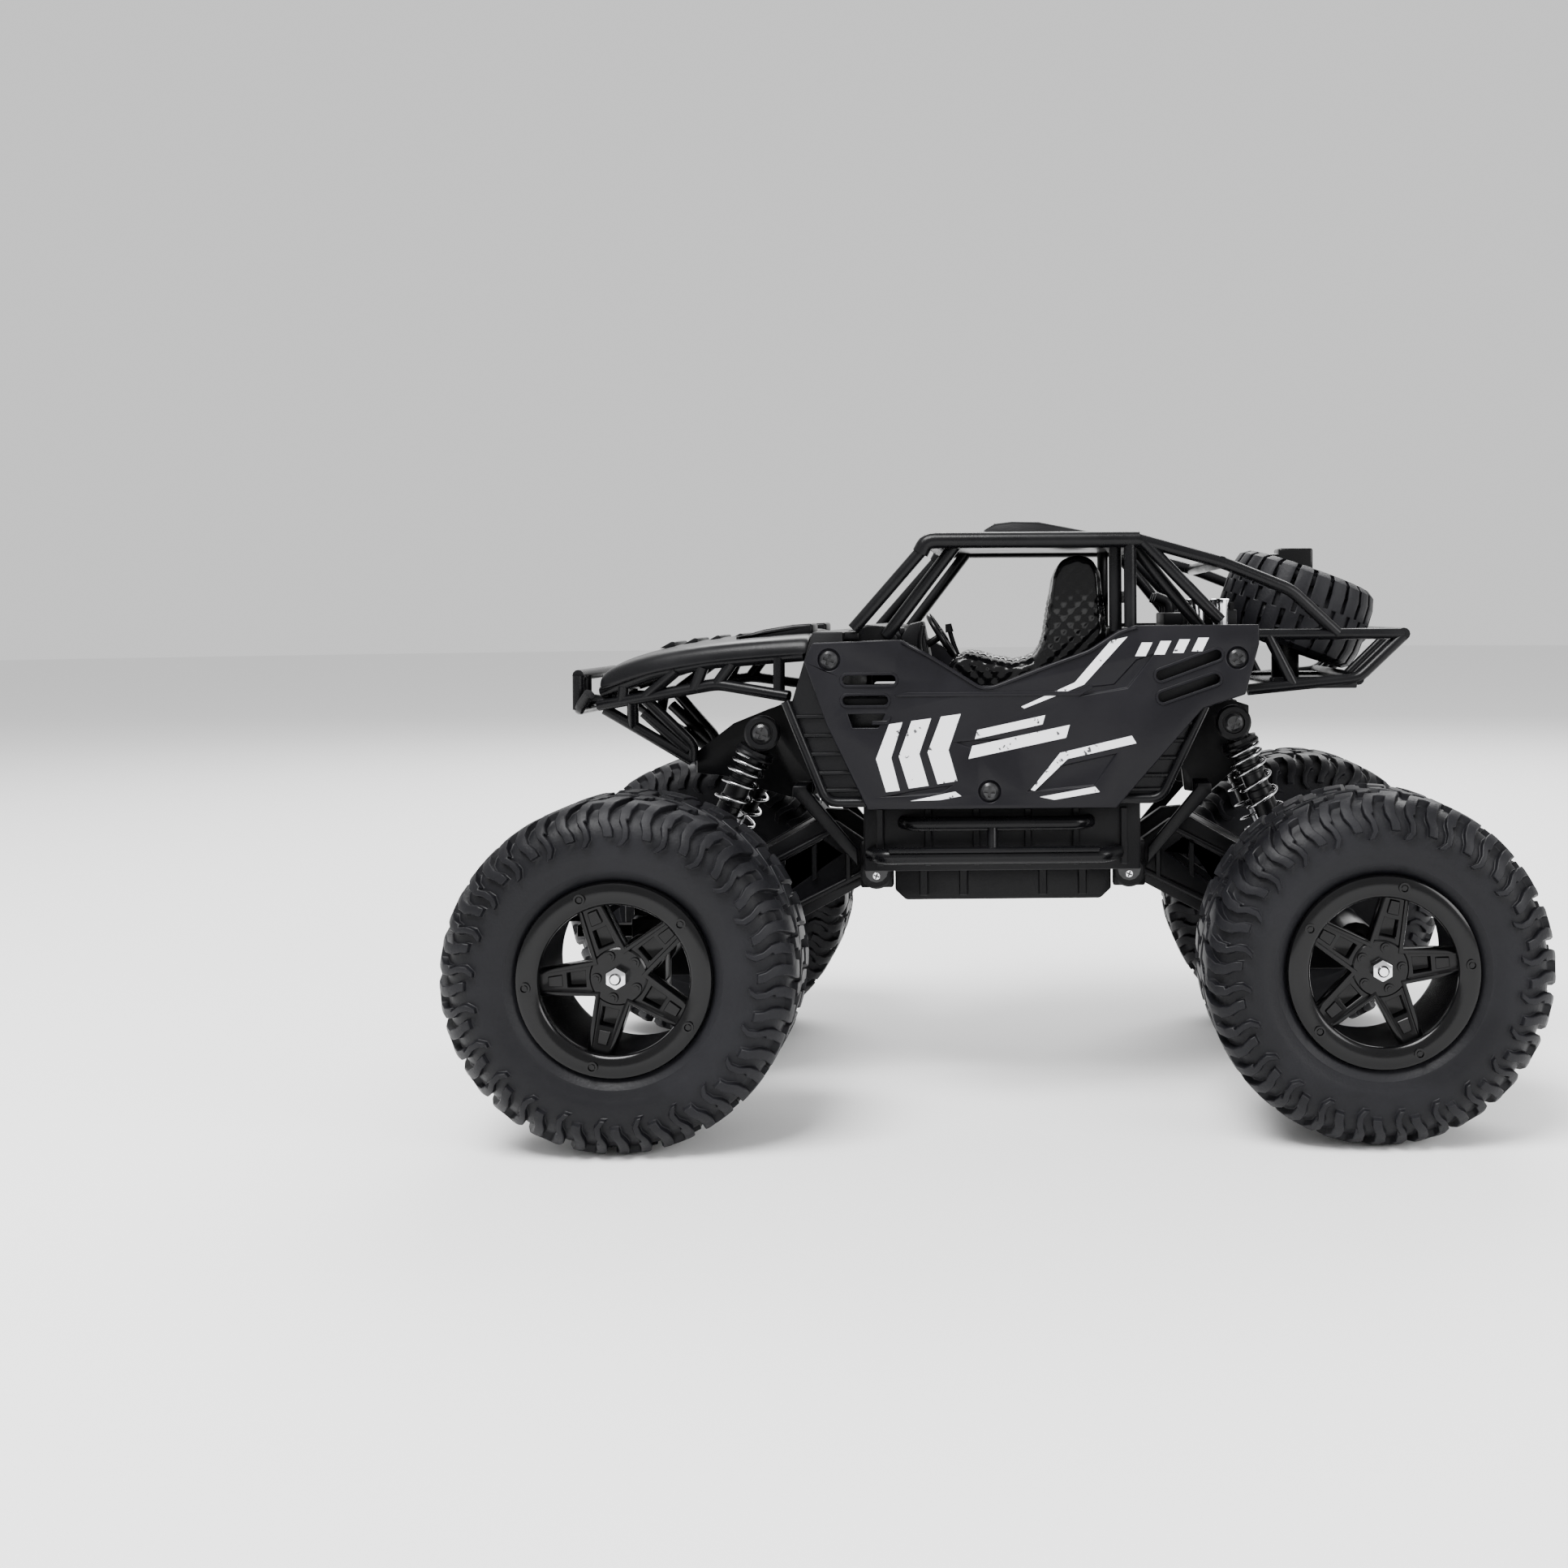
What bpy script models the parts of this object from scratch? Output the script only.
"""A radio controlled rock crawler: tube-framed body, two sprung axles, steered front wheels.

Sizes are in millimetres and become metres when each object is made. The car stands on z = 0 with its
origin on the ground midway between the axles. The nose points along -X and the left side is at -Y.
"""

import math

import bmesh
import bpy
from mathutils import Matrix, Vector

MM = 0.001

# Driving sizes
WHEELBASE = 190.0
TRACK = 118.0
TYRE_RADIUS = 44.0
TYRE_HALF_WIDTH = 20.0
RIM_RADIUS = 23.2
CLEARANCE = 0.4
TUBE_R = 1.6

# Suspension
AXLE_X = WHEELBASE / 2
HUB_Z = TYRE_RADIUS
WHEEL_Y = TRACK / 2
PIVOT_X = 35.0
PIVOT_Z = 62.5
ROLL_Z = HUB_Z + 4.0
KINGPIN_Y = 34.0
STEER_ARM = 18.0
SHOCK_Y = 22.0
SHOCK_MOUNTS = {"front": ((66.0, 101.0), (87.0, 58.0)), "rear": ((64.0, 103.0), (82.0, 58.0))}
DIRECTION = {"front": -1, "rear": 1}
SIDES = {"left": -1, "right": 1}

# Drive train
GEAR_TEETH = 24
PINION_TEETH = 8
GEAR_MODULE = 0.75
GEAR_Y = (-8.0, -4.0)
SHAFT_R = 2.3
BORE_R = 2.85
MOTOR_Z = HUB_Z + GEAR_MODULE * (GEAR_TEETH + PINION_TEETH) / 2

# Body
PANEL_Y = (44.3, 47.0)
CABIN_HALF_WIDTH = 43.5
CAGE_Y = 41.0
ROOF_Z = 153.2
SPARE_CENTRE = (85.5, 0.0, 134.2)
SPARE_TILT = math.radians(20)
SPARE_RADIUS = 21.5
SPARE_HALF_WIDTH = 10.8

FINISHES = {
    "body_black": ((0.020, 0.020, 0.023), 0.48, 0.0),
    "frame_black": ((0.014, 0.014, 0.016), 0.36, 0.0),
    "panel_black": ((0.028, 0.027, 0.032), 0.42, 0.3),
    "tyre": ((0.022, 0.022, 0.024), 0.78, 0.0),
    "rim_black": ((0.012, 0.012, 0.013), 0.30, 0.0),
    "steel": ((0.62, 0.62, 0.63), 0.25, 1.0),
    "spring_steel": ((0.45, 0.45, 0.46), 0.28, 1.0),
    "gear_nylon": ((0.75, 0.74, 0.70), 0.45, 0.0),
    "motor_can": ((0.55, 0.55, 0.57), 0.35, 1.0),
    "board_green": ((0.02, 0.12, 0.05), 0.50, 0.0),
    "battery_wrap": ((0.02, 0.06, 0.25), 0.40, 0.0),
}


# ---------------------------------------------------------------------------------------------
# Shapes, in millimetres. Each returns a bmesh that is one closed shell.
# ---------------------------------------------------------------------------------------------


def closed(shell):
    bmesh.ops.recalc_face_normals(shell, faces=shell.faces)
    return shell


def box(x, y, z):
    """A block between the two values of each pair."""
    shell = bmesh.new()
    bmesh.ops.create_cube(shell, size=1)
    size = [abs(b - a) for a, b in (x, y, z)]
    middle = [(a + b) / 2 for a, b in (x, y, z)]
    bmesh.ops.scale(shell, vec=size, verts=shell.verts)
    bmesh.ops.translate(shell, vec=middle, verts=shell.verts)
    return shell


def prism(outline, y, flip=1):
    """An outline in the XZ plane, pushed along Y between two values. flip=-1 mirrors it in X."""
    shell = bmesh.new()
    face = shell.faces.new([shell.verts.new((flip * px, y[0], pz)) for px, pz in outline])
    pushed = bmesh.ops.extrude_face_region(shell, geom=[face])["geom"]
    moved = [item for item in pushed if isinstance(item, bmesh.types.BMVert)]
    bmesh.ops.translate(shell, vec=(0, y[1] - y[0], 0), verts=moved)
    return closed(shell)


def rod(start, end, radius, sides=12, end_radius=None):
    """A round bar or cone between two points."""
    start, end = Vector(start), Vector(end)
    shell = bmesh.new()
    bmesh.ops.create_cone(
        shell,
        cap_ends=True,
        segments=sides,
        radius1=radius,
        radius2=radius if end_radius is None else end_radius,
        depth=(end - start).length,
    )
    turn = (end - start).to_track_quat("Z", "Y").to_matrix().to_4x4()
    bmesh.ops.transform(shell, matrix=Matrix.Translation((start + end) / 2) @ turn, verts=shell.verts)
    return shell


def tube(points, radius=TUBE_R, resolution=1):
    """A bent tube or wire: a poly curve with a round bevel and filled caps."""
    curve = bpy.data.curves.new("route", "CURVE")
    curve.dimensions = "3D"
    curve.bevel_depth = radius
    curve.bevel_resolution = resolution
    curve.use_fill_caps = True
    spline = curve.splines.new("POLY")
    spline.points.add(len(points) - 1)
    for knot, point in zip(spline.points, points):
        knot.co = (*point, 1)
    holder = bpy.data.objects.new("route", curve)
    bpy.context.collection.objects.link(holder)
    bpy.context.view_layer.update()
    mesh = bpy.data.meshes.new_from_object(holder.evaluated_get(bpy.context.evaluated_depsgraph_get()))
    shell = bmesh.new()
    shell.from_mesh(mesh)
    bmesh.ops.remove_doubles(shell, verts=shell.verts, dist=0.001)
    bpy.data.objects.remove(holder)
    bpy.data.meshes.remove(mesh)
    return closed(shell)


def lathe(profile, steps):
    """A closed profile of (radius, y) spun about the Y axis, with a flat at the bottom and at each side."""
    shell = bmesh.new()
    half_step = math.pi / steps
    knots = []
    for radius, y in profile:
        reach = radius / math.cos(half_step)
        knots.append(shell.verts.new((reach * math.sin(half_step), y, reach * math.cos(half_step))))
    edges = [shell.edges.new((knots[i - 1], knots[i])) for i in range(len(knots))]
    bmesh.ops.spin(
        shell, geom=knots + edges, cent=(0, 0, 0), axis=(0, 1, 0), angle=math.tau, steps=steps, use_merge=False
    )
    bmesh.ops.remove_doubles(shell, verts=shell.verts, dist=0.001)
    return closed(shell)


def moved(shell, offset=(0, 0, 0), turn_y=0.0, flip_y=1):
    """Mirrors a shell in Y, turns it about Y, then shifts it."""
    place = Matrix.Translation(offset) @ Matrix.Rotation(turn_y, 4, "Y") @ Matrix.Diagonal((1, flip_y, 1, 1))
    bmesh.ops.transform(shell, matrix=place, verts=shell.verts)
    return closed(shell)


def slot(start, end, radius, y):
    """A stadium-shaped cutter in the XZ plane, running through a plate along Y."""
    start, end = Vector(start), Vector(end)
    along = (end - start).normalized()
    heading = math.atan2(along.y, along.x)
    outline = []
    for centre, first in ((end, heading - math.pi / 2), (start, heading + math.pi / 2)):
        for k in range(5):
            angle = first + math.pi * k / 4
            outline.append((centre.x + radius * math.cos(angle), centre.y + radius * math.sin(angle)))
    return prism(outline, y)


# ---------------------------------------------------------------------------------------------
# Objects
# ---------------------------------------------------------------------------------------------


def finish_material(finish):
    material = bpy.data.materials.get(finish)
    if material is None:
        colour, roughness, metallic = FINISHES[finish]
        material = bpy.data.materials.new(finish)
        material.use_nodes = True
        shader = material.node_tree.nodes["Principled BSDF"]
        shader.inputs["Base Color"].default_value = (*colour, 1)
        shader.inputs["Roughness"].default_value = roughness
        shader.inputs["Metallic"].default_value = metallic
    return material


def mesh_object(name, shell):
    mesh = bpy.data.meshes.new(name)
    shell.to_mesh(mesh)
    shell.free()
    holder = bpy.data.objects.new(name, mesh)
    bpy.context.collection.objects.link(holder)
    return holder


def gather(name, shells):
    """Several shells in one mesh, still overlapping."""
    whole = bmesh.new()
    for shell in shells:
        piece = bpy.data.meshes.new("piece")
        shell.to_mesh(piece)
        shell.free()
        whole.from_mesh(piece)
        bpy.data.meshes.remove(piece)
    return mesh_object(name, whole)


def combine(target, tool, operation, overlapping=False):
    """Runs one Boolean on target, keeps its result as target's mesh, and removes the tool."""
    modifier = target.modifiers.new(operation, "BOOLEAN")
    modifier.operation = operation
    modifier.solver = "EXACT"
    modifier.use_self = overlapping
    modifier.object = tool
    bpy.context.view_layer.update()
    result = bpy.data.meshes.new_from_object(target.evaluated_get(bpy.context.evaluated_depsgraph_get()))
    target.modifiers.clear()
    target.data = result
    bpy.data.objects.remove(tool)


def build(name, finish, shells, cuts=(), carrier=None):
    """One solid: the shells joined, then the cuts taken out of them."""
    shells = list(shells)
    solid = mesh_object(name, shells[0])
    if len(shells) > 1:
        combine(solid, gather("joined", shells[1:]), "UNION", overlapping=True)
    cuts = list(cuts)
    if cuts:
        combine(solid, gather("cutter", cuts), "DIFFERENCE", overlapping=len(cuts) > 1)
    solid.data.transform(Matrix.Scale(MM, 4))
    solid.data.name = name
    solid.data.materials.clear()
    solid.data.materials.append(finish_material(finish))
    solid.data.shade_smooth()
    solid.data.set_sharp_from_angle(angle=math.radians(35))
    if carrier is not None:
        solid.parent = carrier
        solid.matrix_parent_inverse = carrier.matrix_world.inverted()
    return solid


def joint_empty(name, place, parent=None):
    """An empty on a joint's axis. The pieces that move with the joint are parented to it."""
    marker = bpy.data.objects.new(name, None)
    marker.empty_display_size = 0.01
    bpy.context.collection.objects.link(marker)
    marker.location = Vector(place) * MM
    bpy.context.view_layer.update()
    if parent is not None:
        marker.parent = parent
        marker.matrix_parent_inverse = parent.matrix_world.inverted()
        bpy.context.view_layer.update()
    return marker


# ---------------------------------------------------------------------------------------------
# Chassis and body
# ---------------------------------------------------------------------------------------------

TUB_X = (-37.5, 37.5)
TUB_Z = (64.0, 82.5)
TUB_HALF_WIDTH = 36.0
WALL = 2.0


def chassis_tub():
    """The lower case: battery bay, board bay, pivot lugs at both ends and the slot for the switch."""
    shells = [box(TUB_X, (-TUB_HALF_WIDTH, TUB_HALF_WIDTH), TUB_Z)]
    cuts = [
        box((-28, 28), (-TUB_HALF_WIDTH + WALL, TUB_HALF_WIDTH - WALL), (TUB_Z[0] + WALL, 90)),
        box((-25, 25), (-17, 17), (60, 70)),
        box((-3.6, 3.6), (28.6, 30.4), (60, 70)),
    ]
    for x_sign in (-1, 1):
        for y_sign in (-1, 1):
            shells.append(box((x_sign * 30.6, x_sign * 39.6), (y_sign * 19, y_sign * 23), (57.5, 70)))
        cuts.append(box((x_sign * 30.2, x_sign * 45), (-18.6, 18.6), (50, 70.5)))
        cuts.append(box((x_sign * 31, x_sign * 45), (-27, -23), (60, 66.4)))
        cuts.append(rod((x_sign * PIVOT_X, -30, PIVOT_Z), (x_sign * PIVOT_X, 30, PIVOT_Z), 2.5))
    build("chassis_tub", "body_black", shells, cuts)


def side_panel(side):
    """The pressed door plate with its vent slots and screw holes."""
    outline = [
        (-49.6, 126.1), (-26.6, 126.8), (-19.1, 122.9), (-5.7, 114.5), (-2.0, 114.5), (12.8, 120.1),
        (23.2, 123.8), (31.3, 128.9), (36.1, 130.2), (68.6, 130.2), (68.6, 125.1), (64.9, 111.7),
        (53.5, 108.0), (30.5, 82.0), (-35.4, 82.0), (-46.0, 104.4), (-51.8, 121.2),
    ]
    sign = SIDES[side]
    through = (sign * 40, sign * 50)
    cuts = [
        slot((-40.5, 116.2), (-29.0, 116.2), 1.4, through),
        slot((-40.5, 110.8), (-31.0, 110.8), 1.4, through),
        slot((-39.0, 105.4), (-31.5, 105.4), 1.4, through),
        slot((42.5, 116.9), (57.2, 122.2), 1.5, through),
        slot((43.0, 111.1), (56.8, 115.8), 1.5, through),
    ]
    for x, z in PANEL_SCREWS:
        cuts.append(rod((x, sign * 40, z), (x, sign * 50, z), 1.3, 8))
    build(f"side_panel_{side}", "panel_black", [prism(outline, (sign * PANEL_Y[0], sign * PANEL_Y[1]))], cuts)


PANEL_SCREWS = ((-45.3, 121.6), (62.8, 121.4), (-3.1, 86.5))


def cabin_tub():
    """The upper case: side walls, floor, dash, rear deck and the bosses behind the door plates' screws."""
    outline = [(-46, 84), (43, 84), (53, 107), (66, 113), (66, 129), (-50, 129), (-56, 109)]
    half = CABIN_HALF_WIDTH
    inside = (-half + 2.5, half - 2.5)
    shells = [prism(outline, (-half, half))]
    cuts = [
        box((-43.5, 31), inside, (86.5, 126.5)),
        box((-38, 31), inside, (86.5, 140)),
        box((34, 63.5), inside, (114.5, 126.5)),
        box((29, 36), (-20, 20), (115, 125)),
    ]
    for sign in SIDES.values():
        cuts.append(box((-42, 31), (sign * (half - 4), sign * (half + 4)), (111.5, 140)))
    build("cabin_tub", "body_black", shells, cuts)


def seat_insert():
    """Both bucket seats on one base."""
    profile = [
        (-14, 88.5), (-14, 119), (-11.5, 122.5), (2, 119.5), (9, 120.5), (12.5, 127), (14.5, 145),
        (18, 149.2), (24.5, 149.2), (27.5, 146), (28.5, 120), (28.5, 88.5),
    ]
    shells = [box((-14, 28.5), (-32, 32), (87, 91))]
    for sign in SIDES.values():
        shells.append(prism(profile, (sign * 6, sign * 31)))
    build("seat_insert", "body_black", shells)


HOOD_STATIONS = (
    (-112, 118.0, 21), (-108, 120.5, 22), (-96, 124.0, 26), (-80, 126.6, 30), (-60, 128.2, 34), (-52, 129.0, 36),
)
HOOD_SKIRT = 4.0


def hood():
    """A lofted bonnet skin with a turned-down edge."""
    skin = 1.6
    shell = bmesh.new()
    rings = []
    for x, z, half in HOOD_STATIONS:
        section = [
            (-half, z - HOOD_SKIRT), (-half, z), (-half / 2, z + 1.2), (0, z + 1.6), (half / 2, z + 1.2),
            (half, z), (half, z - HOOD_SKIRT), (half - skin, z - HOOD_SKIRT), (half - skin, z - skin),
            (0, z - 0.2), (-half + skin, z - skin), (-half + skin, z - HOOD_SKIRT),
        ]
        ring = [shell.verts.new((x, y, height)) for y, height in section]
        rings.append([shell.edges.new((ring[i - 1], ring[i])) for i in range(len(ring))])
        if x in (HOOD_STATIONS[0][0], HOOD_STATIONS[-1][0]):
            shell.faces.new(ring)
    for near, far in zip(rings, rings[1:]):
        bmesh.ops.bridge_loops(shell, edges=near + far)
    bmesh.ops.triangulate(shell, faces=shell.faces)
    build("hood", "body_black", [closed(shell)])


def mirrored_tubes(routes, radius=TUBE_R):
    """Each route twice, at +Y and at -Y."""
    shells = []
    for sign in SIDES.values():
        for route in routes:
            shells.append(tube([(x, sign * y, z) for x, y, z in route], radius))
    return shells


def front_frame():
    """The nose: upper and lower rails, their lattice, the bumper hoop and the stays to the shock tower."""
    routes = [
        [(-112, 18.0, 112.2), (-96, 24.0, 117.6), (-80, 28.0, 120.4), (-60, 32.0, 122.0), (-53.4, 33.6, 122.5)],
        [(-113, 18.0, 108.5), (-78, 28.0, 114.6), (-57.6, 34.0, 111.4)],
        [(-106, 20.0, 109.9), (-105.5, 20.5, 114.0)],
        [(-99, 22.0, 111.0), (-89.5, 26.0, 118.4)],
        [(-78, 28.0, 114.8), (-73.5, 29.2, 120.8)],
        [(-60.5, 32.6, 112.0), (-60.5, 32.4, 121.8)],
        [(-111.5, 17.5, 107.4), (-87.2, 16.9, 92.8)],
        [(-103.0, 20.6, 109.6), (-103.6, 17.4, 102.8)],
        [(-99.6, 20.5, 110.4), (-86.9, 17.0, 97.0), (-87.2, 16.9, 92.8)],
        [(-117.6, 14.0, 107.5), (-117.6, 14.0, 117.0)],
        [(-118.0, 12.0, 110.0), (-108, 18.0, 109.4)],
    ]
    across = [
        [(-118, -21.0, 117.0), (-118, 21.0, 117.0)],
        [(-114, -24.5, 112.0), (-118, -21.0, 107.5), (-118, 21.0, 107.5), (-114, 24.5, 112.0)],
        [(-110.5, -18.6, 109.0), (-110.5, 18.6, 109.0)],
        [(-111, -18.6, 112.4), (-111, 18.6, 112.4)],
        [(-96, -17.2, 98.6), (-96, 17.2, 98.6)],
    ]
    routes.append([(-118, 20.8, 117.0), (-118, 20.8, 107.5)])
    build("front_frame", "frame_black", mirrored_tubes(routes) + [tube(route) for route in across])


def roll_cage():
    """Windscreen pillars, roof rails, door pillars and the stays that run back over the rear bed."""
    y = CAGE_Y
    routes = [
        [(-39.4, y, 129.6), (-19.0, y, ROOF_Z - 0.4)],
        [(34.8, y, ROOF_Z), (34.8, y, 129.6)],
        [(37.0, y, ROOF_Z), (60, y - 1, 146.8), (76, y - 3, 140.6), (82.5, y - 4, 136.0), (88.6, y - 6, 131.1)],
        [(38.5, y, ROOF_Z - 0.6), (59.0, y, 131.2)],
    ]
    rails = mirrored_tubes([[(-20.0, y, ROOF_Z), (37.4, y, ROOF_Z)]], 1.9)
    across = [
        tube([(-19.5, -y - 0.6, ROOF_Z - 0.2), (-19.5, y + 0.6, ROOF_Z - 0.2)], 1.75),
        tube([(36.6, -y - 0.6, ROOF_Z - 0.2), (36.6, y + 0.6, ROOF_Z - 0.2)], 1.75),
        tube([(34.8, -y - 0.4, 138.0), (34.8, y + 0.4, 138.0)], 1.4),
        tube([(59.4, -y - 0.2, 146.9), (59.4, y + 0.2, 146.9)], 1.4),
    ]
    build("roll_cage", "frame_black", rails + mirrored_tubes(routes) + across)


def roof_panel():
    """The roof skin with its raised scoop."""
    scoop = [(-5, 154.0), (0, 158.0), (8, 159.6), (16, 159.0), (31, 155.4), (31, 154.0)]
    shells = [box((-17.2, 34.3), (-38.6, 38.6), (152.4, 154.8)), prism(scoop, (-21, 21))]
    build("roof_panel", "body_black", shells)


def rear_frame():
    """The rear bed: upper and lower rails, end bars, floor plate and the post for the spare wheel."""
    routes = [
        [(66.6, 36.0, 127.4), (110.0, 33.0, 127.4)],
        [(66.8, 36.0, 112.4), (97.5, 33.6, 115.2), (110.0, 33.0, 126.8)],
        [(72.5, 35.6, 127.2), (79.5, 35.0, 113.6)],
    ]
    ends = [
        tube([(110, -34.2, 127.3), (110, 34.2, 127.3)], 1.7),
        tube([(97.3, -34.4, 115.1), (97.3, 34.4, 115.1)], 1.7),
    ]
    for y in (-25, -14, 14, 25):
        ends.append(tube([(97.3, y, 115.1), (109.9, y, 127.2)], 1.3))
    ends.append(box((74, 97), (-34.6, 34.6), (112.6, 114.2)))
    ends.append(rod((82.6, 0, 113.2), (82.6, 0, 124.2), 4.0, 12))
    build("rear_frame", "frame_black", mirrored_tubes(routes) + ends)


def side_step(side):
    """The sill guard below the door: a step rail, an upper rail and a middle post."""
    sign = SIDES[side]
    step = tube([(-35, sign * 37.6, 69), (-32, sign * 44, 69), (28, sign * 44, 69), (31, sign * 37.6, 69)], 2.0)
    shells = [step, tube([(-26.5, sign * 37.4, 77.4), (-24, sign * 41.5, 77.4), (21, sign * 41.5, 77.4), (23.5, sign * 37.4, 77.4)], 1.8)]
    shells.append(tube([(-2.5, sign * 44, 69), (-2.5, sign * 41.5, 77.4)], 1.4))
    build(f"side_step_{side}", "frame_black", shells)


TOWER_OUTLINES = {
    "front": [
        (57.2, 109.6), (50.0, 91.0), (51.5, 83.0), (60, 82.0), (67, 84.0), (78, 88.0), (86.5, 89.0),
        (86.5, 95.0), (76, 103.0), (66, 107.0),
    ],
    "rear": [
        (57.0, 107.2), (50.6, 91.0), (51.5, 83.0), (58, 82.0), (66, 89.0), (70, 97.0), (70, 107.0), (65, 108.6),
    ],
}
BRACE_Y = (22.6, 25.6)


def shock_tower(end):
    """Two plates that carry the tops of the shock absorbers, braced down to the chassis tub."""
    flip = DIRECTION[end]
    outline = TOWER_OUTLINES[end]
    (top_x, top_z), _ = SHOCK_MOUNTS[end]
    shells = [box((flip * 54, flip * 58), (-BRACE_Y[1], BRACE_Y[1]), (83.2, 86.2))]
    shells.append(box((flip * 58, flip * 62), (-13, 13), (94, 99)))
    for sign in SIDES.values():
        shells.append(prism(outline, (sign * 12, sign * 14.5), flip))
        shells.append(rod((flip * top_x, sign * 13, top_z), (flip * top_x, sign * 26, top_z), 1.5))
        shells.append(rod((flip * top_x, sign * 25.5, top_z), (flip * top_x, sign * 27, top_z), 3.4))
        brace = [(40.2, 64.0), (40.2, 68.5), (54.5, 85.8), (57.8, 85.8), (57.8, 83.6)]
        shells.append(prism(brace, (sign * 23.4, sign * BRACE_Y[1]), flip))
    build(f"{end}_shock_tower", "frame_black", shells)


def engine_block():
    """The scale engine on the rear deck: a block with a cylinder head on each side."""
    shells = [box((46, 60), (-15, 15), (129.4, 133.5))]
    for sign in SIDES.values():
        shells.append(box((51, 65), (sign * 14, sign * 29), (129.4, 136.4)))
    build("engine_block", "body_black", shells)


def spare_wheel():
    """A small spare that leans back on the rear bed, held by a capped post."""
    half = SPARE_HALF_WIDTH
    radius = SPARE_RADIUS
    profile = [
        (12.5, -half + 1), (15, -half), (radius - 2.5, -half), (radius, -half + 3), (radius, half - 3),
        (radius - 2.5, half), (15, half), (12.5, half - 1),
    ]
    lean = Matrix.Translation(SPARE_CENTRE) @ Matrix.Rotation(SPARE_TILT, 4, "Y") @ Matrix.Rotation(math.pi / 2, 4, "X")

    def leaned(shell):
        bmesh.ops.transform(shell, matrix=lean, verts=shell.verts)
        return closed(shell)

    build("spare_tyre", "tyre", [leaned(lathe(profile, 20))])
    disc = leaned(lathe([(4.2, -5), (12.0, -7), (12.0, 7), (4.2, 2)], 20))
    post = leaned(rod((0, -8.6, 0), (0, 12.0, 0), 4.4, 12))
    cap = box((80.2, 90.2), (-5, 5), (142, 152.0))
    build("spare_rim", "rim_black", [disc, post, cap])


def electronics():
    build("battery_pack", "battery_wrap", [box((-24, 24), (-15, 15), (64.6, 79.5))])
    chips = [box((-20, -8), (-12, 0), (80.0, 81.4)), box((4, 16), (6, 20), (80.2, 81.4))]
    build("circuit_board", "board_green", [box((-26, 26), (-30, 30), (81.2, 82.8))] + chips)


def battery_door():
    """The hatch under the chassis, which drops straight down when its screw is out."""
    outline = [(-30, 63.6), (-30, 57), (-27, 54.2), (27, 54.2), (30, 57), (30, 63.6)]
    marker = joint_empty("battery_door_slide", (0, 0, 60))
    cavity = box((-26, 26), (-17.5, 17.5), (57, 66))
    build("battery_door", "body_black", [prism(outline, (-24, 24))], [cavity], marker)


def power_switch():
    """The sliding knob, its stem through the floor slot and the flange that keeps it in."""
    marker = joint_empty("power_switch_slide", (-2, 29.5, 63))
    shells = [
        box((-4, 0), (27.8, 31.2), (61.6, 63.6)),
        box((-3, -1), (29.0, 30.0), (63.0, 67.0)),
        box((-4, 0), (27.4, 31.6), (66.4, 67.6)),
    ]
    build("power_switch", "body_black", shells, carrier=marker)


def pivot_pin(end):
    """The long screw that a swing frame turns on, with its head on the left."""
    x = DIRECTION[end] * PIVOT_X
    shells = [rod((x, -24, PIVOT_Z), (x, 23.0, PIVOT_Z), 1.9), rod((x, -25.4, PIVOT_Z), (x, -23.5, PIVOT_Z), 3.2)]
    build(f"{end}_pivot_pin", "steel", shells)


# ---------------------------------------------------------------------------------------------
# Axles
# ---------------------------------------------------------------------------------------------


def swing_frame(end, carrier):
    """The A-frame that lets an axle rise and fall: windowed side plates, pivot tube and roll bearing."""
    flip = DIRECTION[end]
    _, (low_x, low_z) = SHOCK_MOUNTS[end]
    plate = [(32.0, 60.5), (34.0, 66.0), (47, 75.0), (53, 75.5), (77, 62.0), (77, 41.0), (71, 40.5), (38.0, 58.2)]
    window = [(45.5, 66.0), (51, 70.0), (70.5, 59.5), (70.5, 48.5)]
    bracket = [(71, 50), (76.8, 47.5), (low_x + 1.5, 54.6), (low_x + 2, 59.0), (low_x - 1, 60.0), (72, 60)]
    shells = [
        rod((flip * PIVOT_X, -18, PIVOT_Z), (flip * PIVOT_X, 18, PIVOT_Z), 3.7, 16),
        box((flip * 71, flip * 77), (-16.5, 16.5), (42, 60)),
        prism([(50, 71.5), (53, 75.3), (76.6, 61.9), (76, 58.6)], (-13, 13), flip),
    ]
    cuts = [
        rod((flip * PIVOT_X, -30, PIVOT_Z), (flip * PIVOT_X, 30, PIVOT_Z), 2.4, 12),
        rod((flip * 60, 0, ROLL_Z), (flip * 80, 0, ROLL_Z), 3.5, 16),
        prism(window, (-30, 30), flip),
    ]
    for sign in SIDES.values():
        shells.append(prism(plate, (sign * 12.5, sign * 16.5), flip))
        shells.append(prism(bracket, (sign * 15.6, sign * 18.4), flip))
        shells.append(rod((flip * low_x, sign * 17, low_z), (flip * low_x, sign * 25.2, low_z), 1.5))
    build(f"{end}_swing_frame", "frame_black", shells, cuts, carrier)


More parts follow.
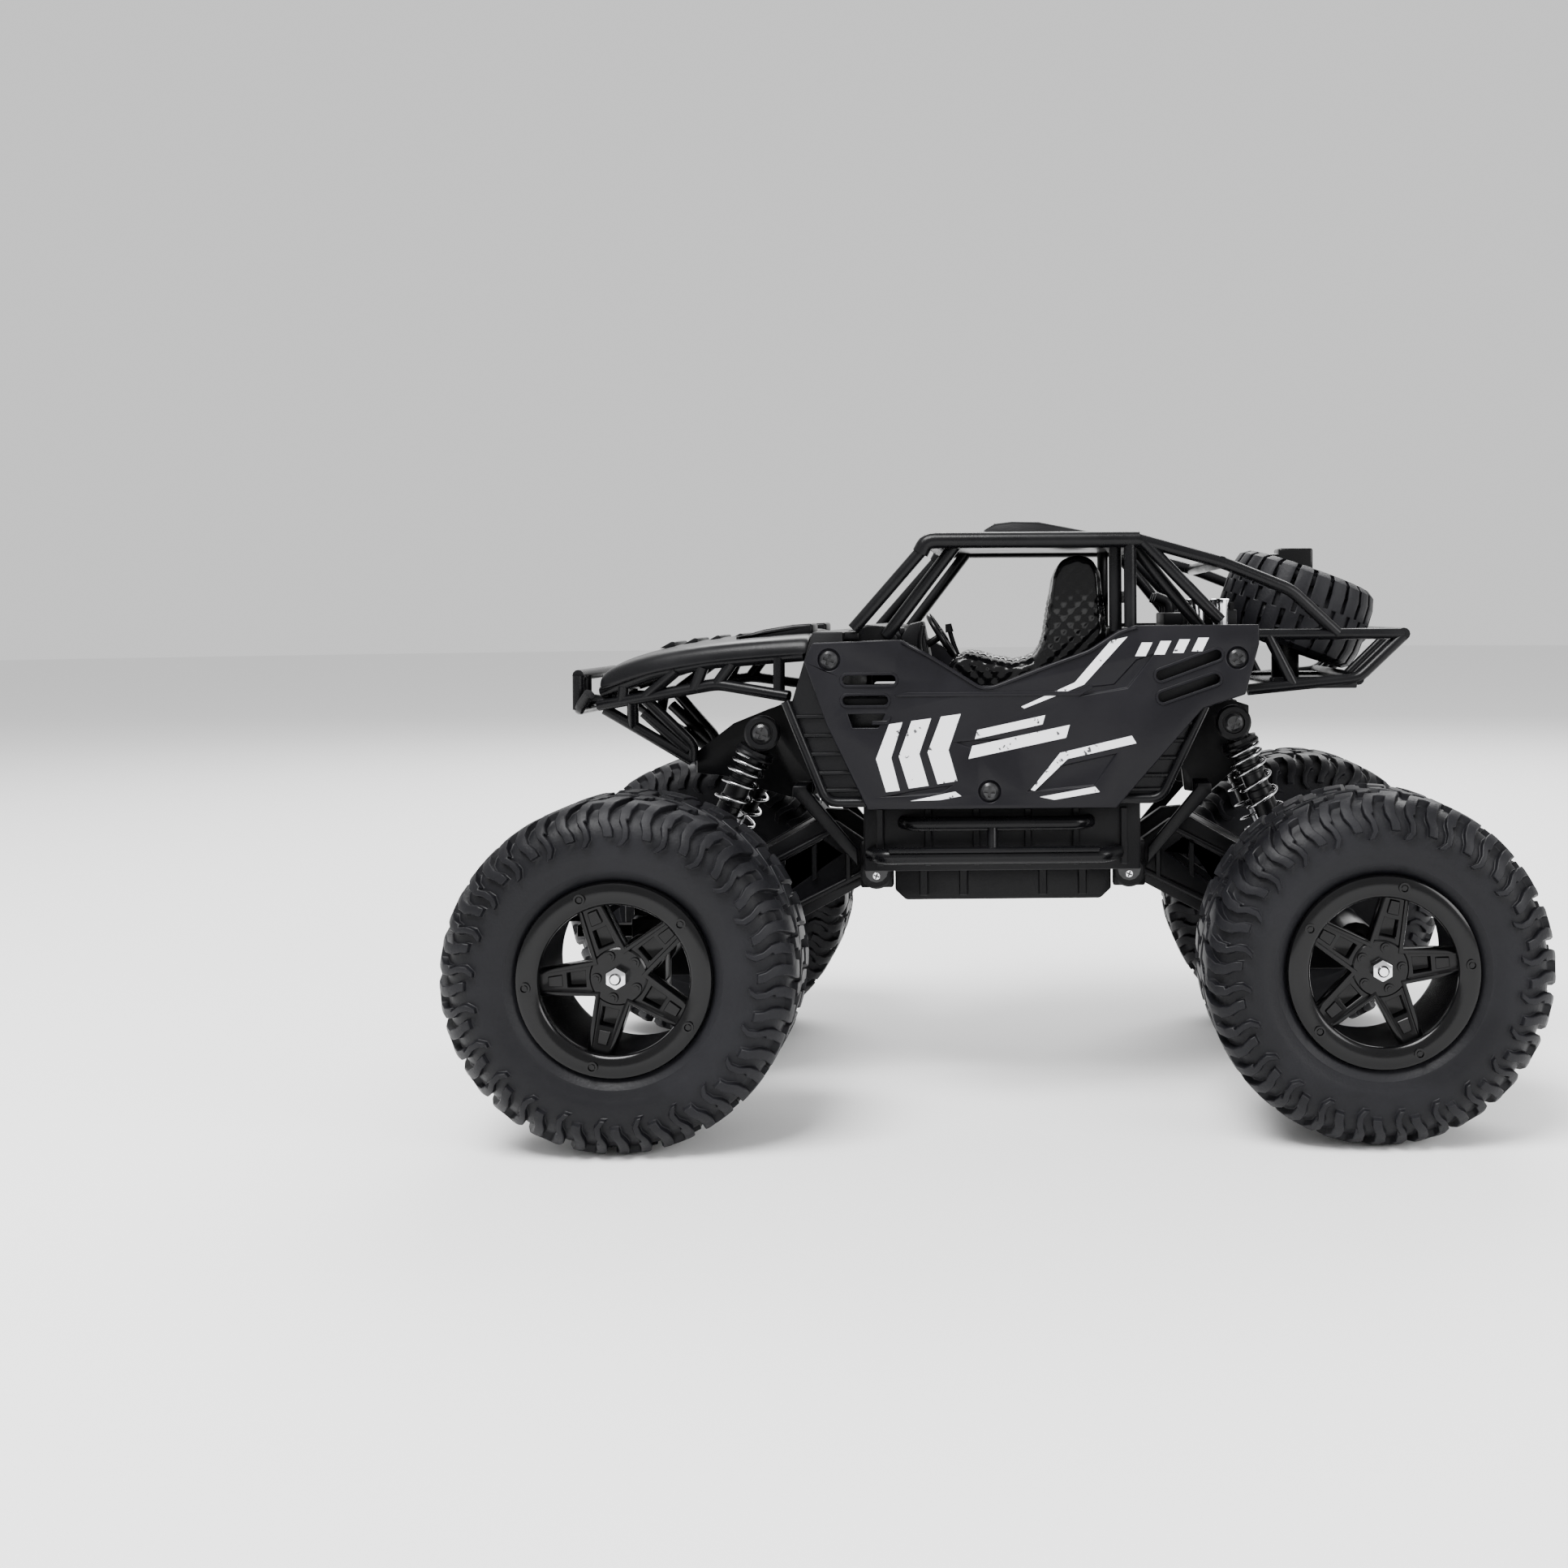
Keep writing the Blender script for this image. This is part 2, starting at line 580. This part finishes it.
def axle_housing(end, carrier):
    """The gear case and axle tubes. The front one ends in forks for the steering knuckles."""
    flip = DIRECTION[end]
    x = flip * AXLE_X
    wide = 12.0
    reach = 30.0 if end == "front" else 41.0
    shells = [
        box((x - wide, x + wide), (-14, 14), (HUB_Z - 12.2, MOTOR_Z + 7)),
        rod((x, -reach, HUB_Z), (x, reach, HUB_Z), 6.0, 16),
        rod((flip * 84, 0, ROLL_Z), (flip * 70, 0, ROLL_Z), 3.0, 16),
    ]
    cuts = [
        box((x - wide + 1.5, x + wide - 1.5), (-12.3, 12.3), (HUB_Z - 10.6, MOTOR_Z + 9)),
        rod((x, -50, HUB_Z), (x, 50, HUB_Z), BORE_R, 12),
    ]
    if end == "front":
        for sign in SIDES.values():
            shells.append(box((x - 4, x + 4), (sign * 28, sign * 30), (HUB_Z - 12, HUB_Z + 12)))
            for low, high in ((9, 12), (-12, -9)):
                shells.append(box((x - 4, x + 4), (sign * 29, sign * 38), (HUB_Z + low, HUB_Z + high)))
            cuts.append(rod((x, sign * KINGPIN_Y, HUB_Z - 20), (x, sign * KINGPIN_Y, HUB_Z + 20), 2.0, 12))
    build(f"{end}_axle_housing", "body_black", shells, cuts, carrier)


def gear_profile(teeth, x, z, turn):
    """A spur gear's outline with slim tapered teeth, so that the mesh has backlash."""
    pitch = GEAR_MODULE * teeth / 2
    step = math.tau / teeth
    outline = []
    for tooth in range(teeth):
        for share, radius in ((-0.30, -1.15), (-0.10, 0.8), (0.10, 0.8), (0.30, -1.15)):
            angle = turn + (tooth + share) * step
            reach = pitch + radius * GEAR_MODULE
            outline.append((x + reach * math.cos(angle), z + reach * math.sin(angle)))
    return outline


def drive_train(end, axle, gear_body, pinion_body):
    """The motor, its pinion and the gear on the axle line. A gap of the pinion faces a tooth of the gear."""
    x = DIRECTION[end] * AXLE_X
    up = math.pi / 2
    can = rod((x, -3.0, MOTOR_Z), (x, 11.8, MOTOR_Z), 5.8, 20)
    shaft = rod((x, -2.0, MOTOR_Z), (x, -3.6, MOTOR_Z), 1.6, 12)
    build(f"{end}_motor", "motor_can", [can, shaft], carrier=axle)
    pinion = prism(gear_profile(PINION_TEETH, x, MOTOR_Z, up + math.pi / PINION_TEETH), GEAR_Y)
    boss = rod((x, -8.0, MOTOR_Z), (x, -11.6, MOTOR_Z), 1.6, 12)
    build(f"{end}_pinion", "steel", [pinion, boss], carrier=pinion_body)
    wheel = prism(gear_profile(GEAR_TEETH, x, HUB_Z, up), GEAR_Y)
    if end == "front":
        build("front_drive_gear", "gear_nylon", [wheel, rod((x, -31, HUB_Z), (x, 31, HUB_Z), SHAFT_R)], carrier=gear_body)
    else:
        hole = rod((x, -20, HUB_Z), (x, 20, HUB_Z), BORE_R)
        build("rear_drive_gear", "gear_nylon", [wheel], [hole], gear_body)


def knuckle(side, carrier):
    """A steering knuckle: block, kingpins, bearing boss and the arm with its pin for the rack."""
    sign = SIDES[side]
    x = -AXLE_X
    y = sign * KINGPIN_Y
    arm_x = x - STEER_ARM
    shells = [
        box((x - 4.5, x + 4.5), (sign * 32.5, sign * 38.4), (HUB_Z - 8.3, HUB_Z + 8.3)),
        rod((x, sign * 38, HUB_Z), (x, sign * 44, HUB_Z), 5.2, 16),
        rod((x, y, HUB_Z - 11.6), (x, y, HUB_Z + 11.6), 1.5, 12),
        box((arm_x - 1.8, x), (y - 1.8, y + 1.8), (HUB_Z + 3, HUB_Z + 6.2)),
        rod((arm_x, y, HUB_Z + 5), (arm_x, y, HUB_Z + 11.4), 1.4, 12),
    ]
    bore = rod((x, sign * 30, HUB_Z), (x, sign * 50, HUB_Z), BORE_R, 12)
    build(f"front_{side}_knuckle", "body_black", shells, [bore], carrier)


def steering_parts(axle, rack_body):
    """The rack that joins both knuckle arms and the servo that drives it."""
    arm_x = -AXLE_X - STEER_ARM
    z = (HUB_Z + 7.6, HUB_Z + 10.0)
    cuts = [box((arm_x - 1.8, arm_x + 1.8), (-7.8, 7.8), (z[0] - 5, z[1] + 5))]
    for sign in SIDES.values():
        middle = sign * KINGPIN_Y
        cuts.append(box((arm_x - 2.0, arm_x + 3.0), (middle - 2.0, middle + 2.0), (z[0] - 5, z[1] + 5)))
    bar = box((arm_x - 4.6, arm_x + 5.2), (-38, 38), z)
    build("steering_rack", "body_black", [bar], cuts, rack_body)
    servo = box((-120, -107.8), (-9, 9), (HUB_Z + 12, HUB_Z + 24))
    peg = rod((arm_x, 0, HUB_Z + 13), (arm_x, 0, HUB_Z + 8.0), 1.2, 12)
    mount = box((-110, -107.4), (-6, 6), (HUB_Z + 12.4, HUB_Z + 18))
    build("steering_servo", "body_black", [servo, peg, mount], carrier=axle)


TYRE_PROFILE = (
    (23.6, -15.0), (26.0, -17.8), (33.5, -20.0), (40.5, -18.4), (44.0, -13.5), (44.0, 13.5), (40.5, 18.4),
    (33.5, 20.0), (26.0, 17.8), (23.6, 15.0), (33.0, 16.0), (38.5, 13.0), (38.5, -13.0), (33.0, -16.0),
)


def wheel(name, x, sign, carrier):
    """A hollow tyre and a rim with five star spokes. The rim's face is on the outer side."""
    centre = (x, sign * WHEEL_Y, HUB_Z)
    build(f"{name}_tyre", "tyre", [moved(lathe(TYRE_PROFILE, 28), centre)], carrier=carrier)
    barrel = [
        (20.8, -14.7), (23.1, -14.7), (23.1, 15.4), (24.6, 17.0), (23.6, 19.0), (18.4, 18.4), (20.8, 13.6),
    ]
    star = []
    for spoke in range(5):
        middle = math.pi / 2 + spoke * math.tau / 5
        for radius, angle in ((21.8, middle - 0.16), (21.8, middle + 0.16), (7.2, middle + math.pi / 5)):
            star.append((radius * math.cos(angle), radius * math.sin(angle)))
    shells = [lathe(barrel, 24), prism(star, (10.2, 13.4)), rod((0, 4.4, 0), (0, 13.6, 0), 6.0, 16)]
    bore = rod((0, 0, 0), (0, 20, 0), BORE_R, 12)
    place = dict(offset=centre, flip_y=sign)
    build(
        f"{name}_rim", "rim_black", [moved(shell, **place) for shell in shells], [moved(bore, **place)], carrier
    )


def nut(x, sign):
    outer = WHEEL_Y + 13.4
    return rod((x, sign * (outer + 0.4), HUB_Z), (x, sign * (outer + 3.4), HUB_Z), 3.3, 6)


def shock(end, side, upper, lower):
    """A coil-over shock absorber: damper body with its top eye, piston rod with the lower eye, spring."""
    flip, sign = DIRECTION[end], SIDES[side]
    (top_x, top_z), (low_x, low_z) = SHOCK_MOUNTS[end]
    top = Vector((flip * top_x, sign * SHOCK_Y, top_z))
    low = Vector((flip * low_x, sign * SHOCK_Y, low_z))
    length = (low - top).length
    place = Matrix.Translation(top) @ (low - top).to_track_quat("Z", "Y").to_matrix().to_4x4()
    across = (place.inverted().to_3x3() @ Vector((0, 1, 0))).normalized()

    def laid(shell):
        bmesh.ops.transform(shell, matrix=place, verts=shell.verts)
        return closed(shell)

    def eye(at, radius, half_width=2.0):
        centre = Vector((0, 0, at))
        return laid(rod(centre - across * half_width, centre + across * half_width, radius, 12))

    name = f"{end}_{side}_shock"
    shells = [
        laid(rod((0, 0, 2), (0, 0, 30), 2.9, 12)),
        laid(rod((0, 0, 5.4), (0, 0, 6.8), 5.0, 16)),
        eye(0, 3.6),
    ]
    cuts = [eye(0, 2.2, 4), laid(rod((0, 0, 12), (0, 0, 40), 1.7, 12))]
    build(f"{name}_body", "frame_black", shells, cuts, upper)
    shells = [
        laid(rod((0, 0, 20), (0, 0, length - 2.2), 1.2, 12)),
        laid(rod((0, 0, length - 7.0), (0, 0, length - 5.6), 5.0, 16)),
        laid(rod((0, 0, length - 6.0), (0, 0, length - 2.0), 2.2, 12)),
        eye(length, 3.2),
    ]
    build(f"{name}_rod", "steel", shells, [eye(length, 2.2, 4)], lower)
    first, last, turns, steps = 7.6, length - 7.8, 7, 6
    coil = []
    for k in range(turns * steps + 1):
        angle = math.tau * k / steps
        height = first + (last - first) * k / (turns * steps)
        coil.append((4.3 * math.cos(angle), 4.3 * math.sin(angle), height))
    build(f"{name}_spring", "spring_steel", [laid(tube(coil, 0.45, 0))], carrier=lower)


def suspension(end):
    """One complete axle with its swing frame, shocks, drive and wheels."""
    x = DIRECTION[end] * AXLE_X
    swing = joint_empty(f"{end}_swing", (DIRECTION[end] * PIVOT_X, 0, PIVOT_Z))
    axle = joint_empty(f"{end}_roll", (DIRECTION[end] * 74, 0, ROLL_Z), swing)
    pinion_body = joint_empty(f"{end}_pinion_spin", (x, 0, MOTOR_Z), axle)
    gear_body = joint_empty(f"{end}_gear_spin", (x, 0, HUB_Z), axle)
    pivot_pin(end)
    shock_tower(end)
    swing_frame(end, swing)
    axle_housing(end, axle)
    drive_train(end, axle, gear_body, pinion_body)
    for side in SIDES:
        top, low = SHOCK_MOUNTS[end]
        top_at = (DIRECTION[end] * top[0], SIDES[side] * SHOCK_Y, top[1])
        low_at = (DIRECTION[end] * low[0], SIDES[side] * SHOCK_Y, low[1])
        upper = joint_empty(f"{end}_{side}_shock_hinge", top_at)
        lower = joint_empty(f"{end}_{side}_shock_slide", low_at, upper)
        shock(end, side, upper, lower)
    if end == "front":
        rack_body = joint_empty("steering_rack_slide", (x - STEER_ARM, 0, HUB_Z + 9), axle)
        steering_parts(axle, rack_body)
        for side, sign in SIDES.items():
            steered = joint_empty(f"front_{side}_steer", (x, sign * KINGPIN_Y, HUB_Z), axle)
            spun = joint_empty(f"front_{side}_spin", (x, sign * WHEEL_Y, HUB_Z), steered)
            knuckle(side, steered)
            wheel(f"front_{side}", x, sign, spun)
            stub = rod((x, sign * 35.4, HUB_Z), (x, sign * (WHEEL_Y + 14.4), HUB_Z), SHAFT_R)
            build(f"front_{side}_axle", "steel", [stub, nut(x, sign)], carrier=spun)
    else:
        for side, sign in SIDES.items():
            wheel(f"rear_{side}", x, sign, gear_body)
        shaft = rod((x, -WHEEL_Y - 14.4, HUB_Z), (x, WHEEL_Y + 14.4, HUB_Z), SHAFT_R)
        build("rear_axle_shaft", "steel", [shaft, nut(x, -1), nut(x, 1)], carrier=gear_body)


def main():
    for old in list(bpy.data.objects):
        bpy.data.objects.remove(old)
    chassis_tub()
    cabin_tub()
    seat_insert()
    hood()
    front_frame()
    roll_cage()
    roof_panel()
    rear_frame()
    engine_block()
    spare_wheel()
    electronics()
    battery_door()
    power_switch()
    for side in SIDES:
        side_panel(side)
        side_step(side)
    for end in DIRECTION:
        suspension(end)


main()
